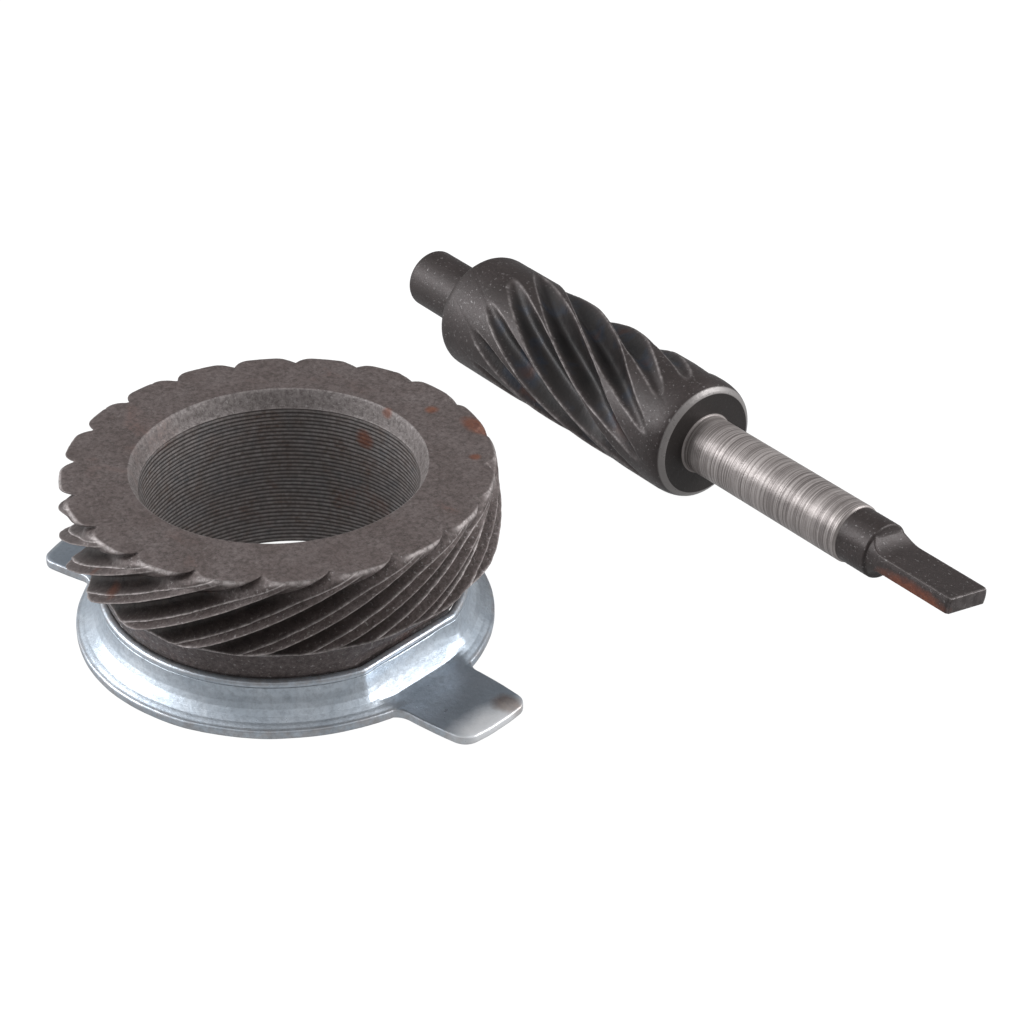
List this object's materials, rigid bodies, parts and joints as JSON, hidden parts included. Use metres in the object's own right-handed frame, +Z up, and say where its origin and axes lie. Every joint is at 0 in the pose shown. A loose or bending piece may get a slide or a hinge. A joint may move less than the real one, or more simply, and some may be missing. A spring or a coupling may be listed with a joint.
{
  "type": "worm gear set",
  "caption": "Crossed-axis speedometer-style drive set: helical worm wheel with hub bore, eared drive plate and multi-start worm shaft with tang end.",
  "frame": {"origin": "centre of the wheel's bore at the wheel's lower face, on the surface the set stands on", "axes": "+Z up along the wheel's axis; +X along the worm shaft, towards its tang; the shaft lies on the +Y side"},
  "size_m": [0.0817, 0.0716, 0.0168],
  "materials": {
    "sintered_steel": "dark, dry, phosphated steel with bright worn tooth edges",
    "zinc_plate": "bluish zinc plating, satin, slightly mottled",
    "shaft_steel": "dark oiled steel with a bright ground journal"
  },
  "bodies": {
    "drive_plate": {"drive_plate": "zinc_plate"},
    "worm_gear": {"worm_gear": "sintered_steel"},
    "worm_shaft": {"worm_shaft": "shaft_steel"}
  },
  "joints": [
    {"name": "gear_spin", "type": "hinge", "parent": "drive_plate", "child": "worm_gear", "pos_m": [0, 0, 0], "axis": [0, 0, 1], "continuous": true},
    {"name": "worm_spin", "type": "hinge", "parent": "drive_plate", "child": "worm_shaft", "pos_m": [0.0085, 0.0449, 0.0063], "axis": [1, 0, 0], "continuous": true}
  ],
  "couplings": [
    {"joint": "worm_spin", "follows": "gear_spin", "ratio": 1.8182}
  ]
}
